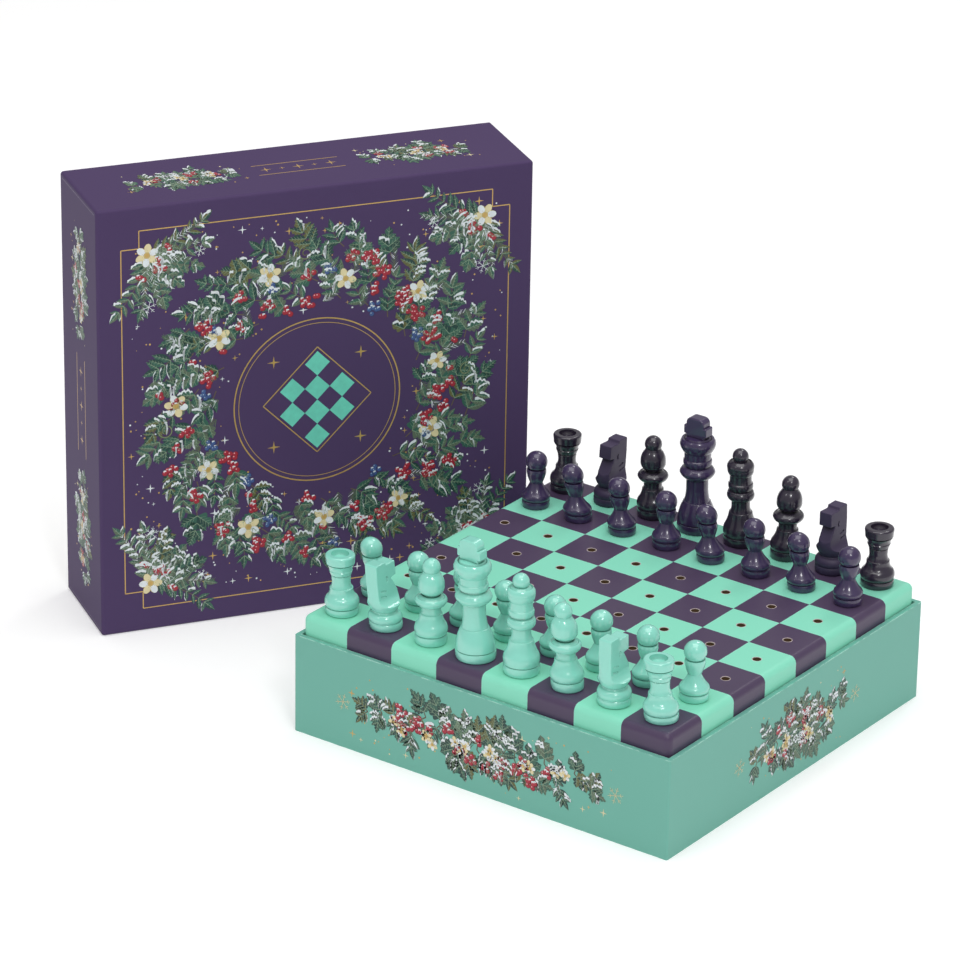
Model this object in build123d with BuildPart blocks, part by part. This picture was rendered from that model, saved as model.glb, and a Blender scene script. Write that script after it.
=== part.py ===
from build123d import *
from math import cos, radians, sin, sqrt
import os

# Travel chess set: a tray, a peg board that nests in it, a lid that stands beside it and 32 turned men.
# Millimetres, +Z up. The origin is the centre of the tray's underside, +X runs along the light side's
# back rank and +Y runs from the light side to the dark side.

# Card and paper
card = 1.4
paper = 0.2

# Playing surface
square_width = 20.0
squares_a_side = 8
board_border = 0.25
board_top = 46.7
board_round = 2.6
stiffener_thick = 3.9
stiffener_gap = 0.15
print_joint = 0.04

# Peg holes and pegs
hole_radius = 1.6
hole_print_radius = 1.85
peg_clearance = 0.1
peg_length = 5.4
peg_lead = 0.4

# Tray
tray_height = 38.7
tray_round = 0.8
tray_turn_in = 24.0
board_running_gap = 0.3

# Lid, standing on one side wall behind the tray and to its left
lid_side = 171.8
lid_depth = 45.0
lid_card = 2.0
lid_round = 1.2
lid_turn_in = 15.0
lid_corner_x = -188.3
lid_corner_y = -65.2
lid_turn = 56.95

# Foot, groove and lip that the men share
foot_round = 0.7
foot_swell = 0.12
groove_depth = 0.35
groove_width = 0.5
lip = 0.4

# How far the curved stretches of a turned outline stand out of the straight
slight_bow = 0.12
soft_bow = 0.25
full_bow = 0.45
deep_bow = 0.75

# King
king_foot = 7.3
king_foot_height = 3.4
king_bell_height = 7.7
king_step = 5.25
king_waist = 4.2
king_waist_height = 9.2
king_collar = 6.7
king_collar_height = 5.6
king_ring = 5.35
king_ring_height = 2.4
king_crown = 6.8
king_crown_height = 8.6
king_cross_width = 7.8
king_cross_height = 8.0
king_cross_thick = 4.8
king_cross_round = 2.2
king_cross_edge = 0.5
king_arm_length = 1.05
king_arm_height = 3.6
king_arm_rise = 1.1

# Queen
queen_foot = 6.5
queen_foot_height = 3.4
queen_bell_height = 8.7
queen_step = 4.45
queen_waist = 3.5
queen_waist_height = 4.5
queen_collar = 5.2
queen_collar_height = 4.9
queen_ring = 4.6
queen_ring_height = 2.4
queen_crown = 5.0
queen_crown_height = 8.6
queen_ball = 3.06

# Bishop
bishop_foot = 5.85
bishop_foot_height = 3.4
bishop_body_height = 7.3
bishop_step = 4.1
bishop_waist = 3.5
bishop_waist_height = 2.7
bishop_collar = 5.85
bishop_collar_height = 4.8
bishop_drop = 4.8
bishop_drop_height = 8.6
bishop_ball = 3.3

# Knight
knight_foot = 6.0
knight_foot_height = 2.8
knight_ring_height = 3.7
knight_neck = 4.3
knight_chest = 6.1
knight_chest_height = 6.0
knight_swell = 2.8
knight_height = 26.0
knight_thick = 5.2
knight_back = 5.2
knight_snout = 5.6
knight_snout_depth = 5.8
knight_throat = 2.6
knight_poll = 0.9

# Rook
rook_foot = 6.1
rook_foot_height = 2.7
rook_body_height = 6.7
rook_step = 4.3
rook_waist = 3.4
rook_waist_height = 4.6
rook_cup_height = 5.0
rook_head = 5.45
rook_head_height = 3.3
rook_recess = 3.3
rook_recess_depth = 1.6

# Pawn
pawn_foot = 5.2
pawn_foot_height = 2.8
pawn_body_height = 6.5
pawn_neck = 2.4
pawn_collar = 3.8
pawn_collar_height = 6.0
pawn_ball = 4.1

# Sizes that follow from the ones above
grid = square_width * squares_a_side
board_side = grid + 2 * board_border
board_card_side = board_side - 2 * paper
board_inner = board_card_side - 2 * card
board_floor = card + paper
tray_side = board_side + 2 * (board_running_gap + card + 2 * paper)
peg_radius = hole_radius - peg_clearance
quarter_bow = 1 - sqrt(0.5)

board_plane = Plane(origin=(0, 0, board_top), x_dir=(1, 0, 0), z_dir=(0, 0, -1))
lid_along = Vector(cos(radians(lid_turn)), sin(radians(lid_turn)), 0)
lid_back = Vector(-sin(radians(lid_turn)), cos(radians(lid_turn)), 0)
lid_face_centre = Vector(lid_corner_x, lid_corner_y, lid_side / 2) + lid_along * (lid_side / 2)
lid_plane = Plane(origin=lid_face_centre, x_dir=lid_along, z_dir=lid_back)

os.makedirs("parts", exist_ok=True)


def save(part, name):
    part.label = name
    export_step(part, f"parts/{name}.step")


# Card boxes and their papers. Each is drawn on the plane of its panel and its walls rise along the normal.
def outer_edges(part, plane):
    on_panel = part.edges().filter_by_position(Axis(plane.origin, plane.z_dir), -0.01, 0.01)
    along_walls = part.edges().filter_by(Axis(plane.origin, plane.z_dir))
    return on_panel, along_walls


def open_box(plane, side, depth, thick, corner=0, round_panel=False):
    with BuildPart() as box:
        with BuildSketch(plane):
            Rectangle(side, side)
        extrude(amount=depth)
        if corner:
            on_panel, along_walls = outer_edges(box.part, plane)
            fillet(along_walls + on_panel if round_panel else along_walls, radius=corner)
        with BuildSketch(plane.offset(thick)):
            Rectangle(side - 2 * thick, side - 2 * thick)
        extrude(amount=depth, mode=Mode.SUBTRACT)
    return box.part


def solid_block(plane, side, depth, corner, round_panel):
    with BuildPart() as block:
        with BuildSketch(plane):
            Rectangle(side, side)
        extrude(amount=depth)
        on_panel, along_walls = outer_edges(block.part, plane)
        fillet(along_walls + on_panel if round_panel else along_walls, radius=corner)
    return block.part


def wrap_paper(plane, side, depth, thick, turn_in, corner, over_panel):
    card_side = side - 2 * paper
    hollow = card_side - 2 * thick
    first = paper if over_panel else 0
    core = solid_block(plane.offset(first), card_side, depth - first - paper, corner - paper, over_panel)
    with BuildPart() as wrap:
        add(solid_block(plane, side, depth, corner, over_panel))
        add(core, mode=Mode.SUBTRACT)
        with BuildSketch(plane.offset(depth - turn_in)):
            Rectangle(hollow, hollow)
        extrude(amount=turn_in - paper)
        with BuildSketch(plane.offset(depth - turn_in)):
            Rectangle(hollow - 2 * paper, hollow - 2 * paper)
        extrude(amount=turn_in, mode=Mode.SUBTRACT)
    return wrap.part


# Tray
tray_card_side = tray_side - 2 * paper
tray_inner = tray_card_side - 2 * card
tray_carton = open_box(Plane.XY, tray_card_side, tray_height - paper, card, tray_round - paper)
save(tray_carton, "tray_carton")

tray_wrap = wrap_paper(Plane.XY, tray_side, tray_height, card, tray_turn_in, tray_round, over_panel=False)
save(tray_wrap, "tray_wrap")

tray_liner = open_box(Plane.XY.offset(card), tray_inner, tray_height - tray_turn_in - card, paper)
save(tray_liner, "tray_liner")

# Lid
lid_card_side = lid_side - 2 * paper
lid_inner = lid_card_side - 2 * lid_card
lid_carton = open_box(
    lid_plane.offset(paper), lid_card_side, lid_depth - 2 * paper, lid_card, lid_round - paper, round_panel=True
)
save(lid_carton, "lid_carton")

lid_wrap = wrap_paper(
    lid_plane, lid_side, lid_depth, lid_card, lid_turn_in, lid_round, over_panel=True
)
save(lid_wrap, "lid_wrap")

lid_panel = paper + lid_card
lid_liner = open_box(lid_plane.offset(lid_panel), lid_inner, lid_depth - lid_turn_in - lid_panel, paper)
save(lid_liner, "lid_liner")

# Peg board: a card box, upside down, with a stiffener under its panel and a hole in every square
board_depth = board_top - board_floor
board_core = solid_block(
    board_plane.offset(paper), board_card_side, board_depth - paper, board_round - paper, round_panel=True
)
stiffener_plane = board_plane.offset(paper + card)


with BuildPart() as board_carton:
    add(board_core)
    with BuildSketch(stiffener_plane):
        Rectangle(board_inner, board_inner)
    extrude(amount=board_depth, mode=Mode.SUBTRACT)
    with BuildSketch(board_plane):
        with GridLocations(square_width, square_width, squares_a_side, squares_a_side):
            Circle(hole_radius)
    extrude(amount=board_depth, mode=Mode.SUBTRACT)
save(board_carton.part, "board_carton")

with BuildPart() as board_stiffener:
    with BuildSketch(stiffener_plane):
        Rectangle(board_inner - 2 * stiffener_gap, board_inner - 2 * stiffener_gap)
        with GridLocations(square_width, square_width, squares_a_side, squares_a_side):
            Circle(hole_radius, mode=Mode.SUBTRACT)
    extrude(amount=stiffener_thick)
save(board_stiffener.part, "board_stiffener")


# The board's printed paper, one node for each colour of square. An end square runs down the board's side.
def square_span(number):
    low = number * square_width - grid / 2 + print_joint / 2
    high = (number + 1) * square_width - grid / 2 - print_joint / 2
    if number == 0:
        low -= square_width
    if number == squares_a_side - 1:
        high += square_width
    return low, high


def printed_squares(colour):
    with BuildPart() as squares:
        add(solid_block(board_plane, board_side, board_depth, board_round, round_panel=True))
        add(board_core, mode=Mode.SUBTRACT)
        with BuildSketch(board_plane):
            with GridLocations(square_width, square_width, squares_a_side, squares_a_side):
                Circle(hole_print_radius)
        extrude(amount=board_depth, mode=Mode.SUBTRACT)
        with BuildSketch():
            for file in range(squares_a_side):
                for rank in range(squares_a_side):
                    if (file + rank) % 2 == colour:
                        left, right = square_span(file)
                        near, far = square_span(rank)
                        with Locations(((left + right) / 2, (near + far) / 2)):
                            Rectangle(right - left, far - near)
        extrude(amount=board_top, mode=Mode.INTERSECT)
    return squares.part


save(printed_squares(0), "light_squares")
save(printed_squares(1), "dark_squares")


# The men. An outline is a list of (radius, height, bow): the bow is how far the stretch that ends
# at the point swells out of the straight, and it is negative in a hollow.
def foot_outline(radius, height):
    return [
        (0, -peg_length, 0),
        (peg_radius - peg_lead, -peg_length, 0),
        (peg_radius, peg_lead - peg_length, 0),
        (peg_radius, 0, 0),
        (radius - foot_round, 0, 0),
        (radius, foot_round, quarter_bow * foot_round),
        (radius, height, foot_swell),
        (radius - groove_depth, height + groove_width / 2, 0),
        (radius, height + groove_width, 0),
    ]


def ball_outline(radius, seat_height, seat):
    centre = seat_height + seat * radius
    neck = radius * sqrt(1 - seat ** 2)
    return [
        (neck, seat_height, 0),
        (radius, centre, radius - sqrt(radius ** 2 - ((radius - neck) ** 2 + (centre - seat_height) ** 2) / 4)),
        (0, centre + radius, quarter_bow * radius),
    ]


def waisted_groove(radius, top):
    # cut deep enough to read as a dark line under the bead or the drop above it
    return [
        (radius - 2 * groove_depth, top - groove_width, 0),
        (radius - 2 * groove_depth, top, 0),
        (radius, top + groove_width / 2, 0),
    ]


def king_outline():
    bell = king_foot_height + groove_width
    step = bell + king_bell_height
    waist = step + lip
    collar = waist + king_waist_height
    ring = collar + king_collar_height
    crown = ring + king_ring_height
    top = crown + king_crown_height
    return foot_outline(king_foot, king_foot_height) + [
        (king_step, step, full_bow),
        (king_step - lip, waist, quarter_bow * lip),
        (king_waist, (waist + collar) / 2, -slight_bow),
        (king_waist, collar, 0),
        (king_collar, collar + 0.45 * king_collar_height, full_bow),
        (king_collar - lip, collar + 0.65 * king_collar_height, slight_bow),
        (king_ring, ring - 2 * groove_width, slight_bow),
    ] + waisted_groove(king_ring, ring) + [
        (king_ring, crown - groove_depth, slight_bow),
        (king_ring - groove_depth, crown, 0),
        (king_ring - groove_depth / 2, crown + 0.3 * king_crown_height, 0),
        (king_crown, crown + 0.68 * king_crown_height, soft_bow),
        (king_crown - 2 * lip, top - lip, soft_bow),
        (king_ring, top - lip, 0),
        (king_ring - groove_depth, top - lip - groove_depth, 0),
        (king_ring - lip - groove_depth, top, 0),
        (0, top + lip, slight_bow),
    ]


def queen_outline():
    bell = queen_foot_height + groove_width
    step = bell + queen_bell_height
    waist = step + lip
    collar = waist + queen_waist_height
    ring = collar + queen_collar_height
    crown = ring + queen_ring_height
    top = crown + queen_crown_height
    return foot_outline(queen_foot, queen_foot_height) + [
        (queen_foot - lip / 2, bell + 0.4 * queen_bell_height, soft_bow),
        (queen_step, step, -soft_bow),
        (queen_step - lip, waist, quarter_bow * lip),
        (queen_waist, (waist + collar) / 2, -slight_bow),
        (queen_waist, collar, 0),
        (queen_collar, collar + 0.45 * queen_collar_height, full_bow),
        (queen_collar - lip, collar + 0.7 * queen_collar_height, slight_bow),
        (queen_ring, ring - 2 * groove_width, slight_bow),
    ] + waisted_groove(queen_ring, ring) + [
        (queen_ring, crown - groove_depth, slight_bow),
        (queen_ring - groove_depth, crown, 0),
        (queen_ring - groove_depth, crown + 0.35 * queen_crown_height, -slight_bow),
        (queen_crown, crown + 0.65 * queen_crown_height, soft_bow),
        (queen_ring - lip, top - lip, full_bow),
        (queen_ring - lip - groove_depth, top - lip - groove_depth, 0),
        (queen_ball, top - lip / 2, 0),
    ] + ball_outline(queen_ball, top, 0.55)


def bishop_outline():
    body = bishop_foot_height + groove_width
    step = body + bishop_body_height
    waist = step + lip
    collar = waist + bishop_waist_height
    drop = collar + bishop_collar_height
    top = drop + bishop_drop_height
    return foot_outline(bishop_foot, bishop_foot_height) + [
        (bishop_foot - lip, body + 0.5 * bishop_body_height, full_bow),
        (bishop_step, step, -soft_bow),
        (bishop_step - lip, waist, quarter_bow * lip),
        (bishop_waist, (waist + collar) / 2, -slight_bow),
        (bishop_waist, collar, 0),
        (bishop_collar, collar + 0.45 * bishop_collar_height, full_bow),
        (bishop_collar - 2 * lip, collar + 0.75 * bishop_collar_height, soft_bow),
        (bishop_collar - 2 * lip - groove_depth, collar + 0.75 * bishop_collar_height - groove_depth / 2, 0),
        (bishop_waist, drop - groove_width, 0),
    ] + waisted_groove(bishop_waist, drop) + [
        (bishop_drop, drop + 0.38 * bishop_drop_height, full_bow),
        (bishop_ball, drop + 0.9 * bishop_drop_height, full_bow),
        (bishop_ball - lip, top, 0),
    ] + ball_outline(bishop_ball, top, 0.5)


def rook_outline():
    body = rook_foot_height + groove_width
    step = body + rook_body_height
    waist = step + lip
    cup = waist + rook_waist_height
    head = cup + rook_cup_height
    top = head + rook_head_height
    return foot_outline(rook_foot, rook_foot_height) + [
        (rook_foot - lip, body + 0.5 * rook_body_height, full_bow),
        (rook_step, step, -full_bow),
        (rook_step - lip, waist, quarter_bow * lip),
        (rook_waist, (waist + cup) / 2, -slight_bow),
        (rook_waist + lip / 2, cup, 0),
        (rook_waist, cup + groove_width / 2, 0),
        (rook_waist + lip, cup + groove_width, 0),
        (rook_step, cup + 0.4 * rook_cup_height, 0),
        (rook_step - groove_depth / 2, cup + 0.4 * rook_cup_height + groove_width / 2, 0),
        (rook_head - lip, head - groove_width, -slight_bow),
        (rook_head - lip - groove_depth, head - groove_width / 2, 0),
        (rook_head - lip / 2, head, 0),
        (rook_head, top - 2 * lip, 0),
        (rook_head - 2 * lip, top, quarter_bow * 2 * lip),
        (rook_recess, top, 0),
        (rook_recess - lip, top - rook_recess_depth, -slight_bow),
        (0, top - rook_recess_depth, 0),
    ]


def pawn_outline():
    body = pawn_foot_height + groove_width
    collar = body + pawn_body_height
    top = collar + pawn_collar_height
    return foot_outline(pawn_foot, pawn_foot_height) + [
        (pawn_foot - lip, body + 0.38 * pawn_body_height, full_bow),
        (pawn_neck, collar, -soft_bow),
        (pawn_collar - lip / 2, collar + 0.6 * pawn_collar_height, slight_bow),
        (pawn_collar - lip / 2, top - lip, slight_bow),
        (pawn_ball * 0.8 - groove_depth, top - lip / 2, 0),
    ] + ball_outline(pawn_ball, top, 0.6)


def knight_outline():
    ring = knight_foot_height + groove_width
    neck = ring + knight_ring_height
    chest = neck + knight_chest_height
    return foot_outline(knight_foot, knight_foot_height) + [
        (knight_neck + lip, neck - lip, deep_bow),
        (knight_neck, neck, 0),
        (knight_chest, chest, deep_bow),
        (knight_chest, knight_height, 0),
        (0, knight_height, 0),
    ]


def man_plane(file, rank, turn=0):
    middle = (squares_a_side - 1) / 2
    centre = ((file - middle) * square_width, (rank - middle) * square_width, board_top)
    return Plane(centre, x_dir=(cos(radians(turn)), sin(radians(turn)), 0), z_dir=(0, 0, 1))


def front_of(plane):
    return Plane(plane.origin, x_dir=plane.x_dir, z_dir=-plane.y_dir)


def side_of(plane):
    return Plane(plane.origin, x_dir=plane.y_dir, z_dir=plane.x_dir)


def turned(outline, plane):
    with BuildPart() as man:
        with BuildSketch(front_of(plane)):
            with BuildLine():
                for (r0, z0, _), (r1, z1, bow) in zip(outline, outline[1:]):
                    if bow:
                        chord = Vector(r1 - r0, z1 - z0)
                        swell = Vector(chord.Y, -chord.X).normalized() * bow
                        middle = Vector(r0 + r1, z0 + z1) / 2 + swell
                        ThreePointArc((r0, z0), middle, (r1, z1))
                    else:
                        Line((r0, z0), (r1, z1))
                Line(outline[-1][:2], outline[0][:2])
            make_face()
        revolve(axis=Axis(plane.origin, plane.z_dir))
    return man.part


def king(plane):
    top = king_outline()[-1][1] - lip
    with BuildPart() as cross:
        with BuildSketch(front_of(plane)):
            with Locations((0, top + king_cross_height / 2)):
                RectangleRounded(king_cross_width, king_cross_height, king_cross_round)
            with Locations((0, top + king_cross_height / 4)):
                Rectangle(king_cross_width, king_cross_height / 2)
            with Locations((0, top + king_arm_rise + king_arm_height / 2)):
                RectangleRounded(king_cross_width + 2 * king_arm_length, king_arm_height, king_cross_edge)
        extrude(amount=king_cross_thick / 2, both=True)
        ends = faces().filter_by(Plane(plane.origin, z_dir=plane.y_dir))
        fillet(ends.edges(), king_cross_edge)
    with BuildPart() as man:
        add(turned(king_outline(), plane))
        add(cross.part)
    return man.part


def knight(plane):
    neck = knight_foot_height + groove_width + knight_ring_height
    chest = neck + knight_chest_height
    half = knight_thick / 2
    run_out = knight_chest - half
    swell = neck + knight_swell
    snout_top = knight_height - knight_poll
    snout_base = snout_top - knight_snout_depth
    wide = 2 * knight_chest
    low = -2 * peg_length
    with BuildPart() as man:
        add(turned(knight_outline(), plane))
        with BuildSketch(front_of(plane)):
            with BuildLine():
                Polyline((0, low), (wide, low), (wide, swell), (knight_chest, swell))
                RadiusArc((knight_chest, swell), (half, swell + run_out), run_out)
                Polyline((half, swell + run_out), (half, knight_height), (0, knight_height))
                mirror(about=Plane.YZ)
            make_face()
        extrude(amount=wide, both=True, mode=Mode.INTERSECT)
        with BuildSketch(side_of(plane)):
            with BuildLine():
                Polyline(
                    (-wide, low), (wide, low), (wide, chest), (knight_chest, chest), (knight_throat, snout_base),
                    (knight_snout, snout_base + lip), (knight_snout, snout_top), (lip, snout_top - lip / 2),
                    (0, knight_height), (lip - knight_back, knight_height),
                    (-knight_back, knight_height - lip), (-knight_chest, chest), (-wide, chest), close=True,
                )
            make_face()
        extrude(amount=wide, both=True, mode=Mode.INTERSECT)
    return man.part


back_rank = ["rook_1", "knight_1", "bishop_1", "king", "queen", "bishop_2", "knight_2", "rook_2"]
outlines = {"rook": rook_outline, "bishop": bishop_outline, "queen": queen_outline}


def man(kind, plane):
    if kind == "king":
        return king(plane)
    if kind == "knight":
        return knight(plane)
    if kind == "pawn":
        return turned(pawn_outline(), plane)
    return turned(outlines[kind](), plane)


# Light men face +Y and dark men face -Y
for colour, home_rank, pawn_rank, facing in [("light", 0, 1, 0), ("dark", 7, 6, 180)]:
    for file, name in enumerate(back_rank):
        save(man(name.split("_")[0], man_plane(file, home_rank, facing)), f"{colour}_{name}")
    for file in range(squares_a_side):
        save(man("pawn", man_plane(file, pawn_rank, facing)), f"{colour}_pawn_{file + 1}")
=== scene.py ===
import math
import random

import bpy
from mathutils import Matrix, Vector


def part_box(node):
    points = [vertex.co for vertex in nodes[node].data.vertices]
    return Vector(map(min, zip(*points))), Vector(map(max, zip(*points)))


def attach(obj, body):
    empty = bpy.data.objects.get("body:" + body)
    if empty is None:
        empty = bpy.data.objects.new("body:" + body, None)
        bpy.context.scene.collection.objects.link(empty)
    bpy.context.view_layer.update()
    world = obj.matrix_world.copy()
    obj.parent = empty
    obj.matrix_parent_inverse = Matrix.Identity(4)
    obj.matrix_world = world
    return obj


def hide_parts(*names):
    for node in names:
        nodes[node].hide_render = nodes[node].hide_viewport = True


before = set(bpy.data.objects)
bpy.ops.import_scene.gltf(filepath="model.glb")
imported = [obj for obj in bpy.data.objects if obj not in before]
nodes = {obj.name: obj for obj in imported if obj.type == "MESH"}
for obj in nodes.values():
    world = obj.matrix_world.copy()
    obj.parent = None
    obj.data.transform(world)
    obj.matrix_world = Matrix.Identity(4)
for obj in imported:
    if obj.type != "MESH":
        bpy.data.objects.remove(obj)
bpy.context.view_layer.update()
mm = 0.001
scene = bpy.context.scene
scene.view_settings.view_transform = "Standard"


def newPiece(name, data):
    piece = bpy.data.objects.new(name, data)
    scene.collection.objects.link(piece)
    return piece


# Camera, set from the grid lines and box corners of the photograph

shot = {
    "azimuth": 35.864,
    "elevation": 23.841,
    "roll": 0.96,
    "aim": (-100.7, 56.1, 46.7),
    "distance": 1966.8,
    "focalPixels": 5130.0,
    "imagePixels": 960,
    "sensorWidth": 36.0,
    "farClip": 20,
}


def placeCamera(s):
    az, el, roll = (math.radians(s[k]) for k in ("azimuth", "elevation", "roll"))
    back = Vector((math.sin(az) * math.cos(el), -math.cos(az) * math.cos(el), math.sin(el)))
    right = (-back).cross(Vector((0, 0, 1))).normalized()
    up = right.cross(-back)
    tiltRight = math.cos(roll) * right + math.sin(roll) * up
    tiltUp = -math.sin(roll) * right + math.cos(roll) * up
    data = bpy.data.cameras.new("photoCamera")
    data.sensor_width = s["sensorWidth"]
    data.lens = s["focalPixels"] / s["imagePixels"] * s["sensorWidth"]
    data.clip_end = s["farClip"]
    camera = newPiece("photoCamera", data)
    spot = Vector(s["aim"]) * mm + back * s["distance"] * mm
    camera.matrix_world = Matrix.Translation(spot) @ Matrix((tiltRight, tiltUp, back)).transposed().to_4x4()
    scene.camera = camera


placeCamera(shot)
print("camera placed")


# Colours are given as they look on screen, 0 to 255

def tone(red, green, blue):
    def linear(c):
        c = c / 255
        return c / 12.92 if c <= 0.04045 else ((c + 0.055) / 1.055) ** 2.4
    return (linear(red), linear(green), linear(blue), 1.0)


# Shader groups shared by the materials

def newGroup(name, inputs, outputs):
    # an input that starts as a tuple is a colour, and so is the output called Colour, and the rest are numbers
    group = bpy.data.node_groups.new(name, "ShaderNodeTree")
    for label, value in inputs.items():
        kind = "NodeSocketColor" if isinstance(value, tuple) else "NodeSocketFloat"
        socket = group.interface.new_socket(label, in_out="INPUT", socket_type=kind)
        socket.default_value = value
    for label in outputs:
        kind = "NodeSocketColor" if label == "Colour" else "NodeSocketFloat"
        group.interface.new_socket(label, in_out="OUTPUT", socket_type=kind)
    start = group.nodes.new("NodeGroupInput")
    end = group.nodes.new("NodeGroupOutput")
    return group, start, end


def addNode(tree, kind, values=None, **settings):
    # settings are the node's own options, values go into its sockets
    node = tree.nodes.new(kind)
    for key, value in settings.items():
        setattr(node, key, value)
    for key, value in (values or {}).items():
        node.inputs[key].default_value = value
    return node


def combine(group, operation, first, second):
    node = addNode(group, "ShaderNodeMath", operation=operation)
    group.links.new(first, node.inputs[0])
    group.links.new(second, node.inputs[1])
    return node.outputs[0]


def blend(group, share, first, second):
    node = addNode(group, "ShaderNodeMix", data_type="RGBA")
    group.links.new(share, node.inputs["Factor"])
    group.links.new(first, node.inputs["A"])
    group.links.new(second, node.inputs["B"])
    return node.outputs["Result"]


def ease(group, source, start, end):
    values = {"From Min": start, "From Max": end}
    node = addNode(group, "ShaderNodeMapRange", values, interpolation_type="SMOOTHSTEP")
    group.links.new(source, node.inputs["Value"])
    return node.outputs["Result"]


paperGrain = {"cloudDetail": 3, "fibreDetail": 4, "fibreRoughness": 0.65}


def paperGroup(g):
    # fine fibre grain and slow cloudy unevenness of printed, laminated paper
    group, start, end = newGroup(
        "paperPrint",
        {"Colour": (1, 1, 1, 1), "Shade": (0, 0, 0, 1), "Cloud Scale": 30.0, "Cloud Amount": 0.08,
         "Fibre Scale": 2500.0, "Fibre Amount": 0.05},
        ("Colour", "Height"),
    )
    link = group.links.new
    place = addNode(group, "ShaderNodeTexCoord")
    cloud = addNode(group, "ShaderNodeTexNoise", {"Detail": g["cloudDetail"]})
    fibreValues = {"Detail": g["fibreDetail"], "Roughness": g["fibreRoughness"]}
    fibre = addNode(group, "ShaderNodeTexNoise", fibreValues)
    link(place.outputs["Object"], cloud.inputs["Vector"])
    link(place.outputs["Object"], fibre.inputs["Vector"])
    link(start.outputs["Cloud Scale"], cloud.inputs["Scale"])
    link(start.outputs["Fibre Scale"], fibre.inputs["Scale"])
    cloudPart = combine(group, "MULTIPLY", cloud.outputs["Fac"], start.outputs["Cloud Amount"])
    fibrePart = combine(group, "MULTIPLY", fibre.outputs["Fac"], start.outputs["Fibre Amount"])
    both = combine(group, "ADD", cloudPart, fibrePart)
    link(blend(group, both, start.outputs["Colour"], start.outputs["Shade"]), end.inputs["Colour"])
    link(fibre.outputs["Fac"], end.inputs["Height"])
    return group


lacquerGrain = {
    "stretch": (0.12, 0.12, 1.0), "ringDetail": 2, "ringShare": 0.35, "runDetail": 2, "occlusionSamples": 8,
    "openAbove": 0.9, "closedBelow": 0.15,
}


def lacquerGroup(g):
    # coloured lacquer brushed over turned wood: faint rings, runs, thin spots, and painted shade that darkens
    # the grooves and hollows
    group, start, end = newGroup(
        "lacquerCoatAndGrooveShade",
        {"Colour": (1, 1, 1, 1), "Thin Colour": (1, 1, 1, 1), "Ring Scale": 900.0, "Run Scale": 160.0,
         "Thin Amount": 0.3, "Groove Shade Colour": (0, 0, 0, 1), "Groove Shade Reach": 0.0022, "Groove Shade Amount": 0.9},
        ("Colour", "Height"),
    )
    link = group.links.new
    place = addNode(group, "ShaderNodeTexCoord")
    stretch = addNode(group, "ShaderNodeMapping", {"Scale": g["stretch"]})
    rings = addNode(group, "ShaderNodeTexNoise", {"Detail": g["ringDetail"]})
    runs = addNode(group, "ShaderNodeTexNoise", {"Detail": g["runDetail"]})
    link(place.outputs["Object"], stretch.inputs["Vector"])
    link(stretch.outputs["Vector"], rings.inputs["Vector"])
    link(place.outputs["Object"], runs.inputs["Vector"])
    link(start.outputs["Ring Scale"], rings.inputs["Scale"])
    link(start.outputs["Run Scale"], runs.inputs["Scale"])
    both = addNode(group, "ShaderNodeMath", {1: g["ringShare"]}, operation="MULTIPLY_ADD")
    link(rings.outputs["Fac"], both.inputs[0])
    link(runs.outputs["Fac"], both.inputs[2])
    share = combine(group, "MULTIPLY", runs.outputs["Fac"], start.outputs["Thin Amount"])
    brushed = blend(group, share, start.outputs["Colour"], start.outputs["Thin Colour"])
    # painted shade: ambient occlusion darkens the colour in grooves and under collars
    occlusion = addNode(group, "ShaderNodeAmbientOcclusion", samples=g["occlusionSamples"], only_local=True)
    link(start.outputs["Groove Shade Reach"], occlusion.inputs["Distance"])
    depth = ease(group, occlusion.outputs["AO"], g["openAbove"], g["closedBelow"])
    grooveShadeShare = combine(group, "MULTIPLY", depth, start.outputs["Groove Shade Amount"])
    link(blend(group, grooveShadeShare, brushed, start.outputs["Groove Shade Colour"]), end.inputs["Colour"])
    link(both.outputs[0], end.inputs["Height"])
    return group


wearGrain = {
    "samples": 6, "flatAbove": 0.995, "turnedBelow": 0.9, "scuffDetail": 5, "scuffFrom": 0.36,
    "scuffTo": 0.66,
}


def wearGroup(g):
    # print thinned by use where the card turns a corner, and a painted highlight along the rounded edges,
    # broken up by noise
    group, start, end = newGroup(
        "edgeWear",
        {"Colour": (1, 1, 1, 1), "Worn Colour": (1, 1, 1, 1), "Width": 0.0005, "Amount": 0.5,
         "Scuff Scale": 420.0},
        ("Colour",),
    )
    link = group.links.new
    shape = addNode(group, "ShaderNodeNewGeometry")
    rounded = addNode(group, "ShaderNodeBevel", samples=g["samples"])
    agree = addNode(group, "ShaderNodeVectorMath", operation="DOT_PRODUCT")
    place = addNode(group, "ShaderNodeTexCoord")
    scuff = addNode(group, "ShaderNodeTexNoise", {"Detail": g["scuffDetail"]})
    link(start.outputs["Width"], rounded.inputs["Radius"])
    link(rounded.outputs["Normal"], agree.inputs[0])
    link(shape.outputs["Normal"], agree.inputs[1])
    link(place.outputs["Object"], scuff.inputs["Vector"])
    link(start.outputs["Scuff Scale"], scuff.inputs["Scale"])
    edge = ease(group, agree.outputs["Value"], g["flatAbove"], g["turnedBelow"])
    patch = ease(group, scuff.outputs["Fac"], g["scuffFrom"], g["scuffTo"])
    broken = combine(group, "MULTIPLY", edge, patch)
    share = combine(group, "MULTIPLY", broken, start.outputs["Amount"])
    # the turned edges take a lighter colour, partly print thinned by use and partly painted highlight
    link(blend(group, share, start.outputs["Colour"], start.outputs["Worn Colour"]), end.inputs["Colour"])
    return group


groups = {
    "paper": paperGroup(paperGrain),
    "lacquer": lacquerGroup(lacquerGrain),
    "wear": wearGroup(wearGrain),
}
print("shader groups made")


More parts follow.
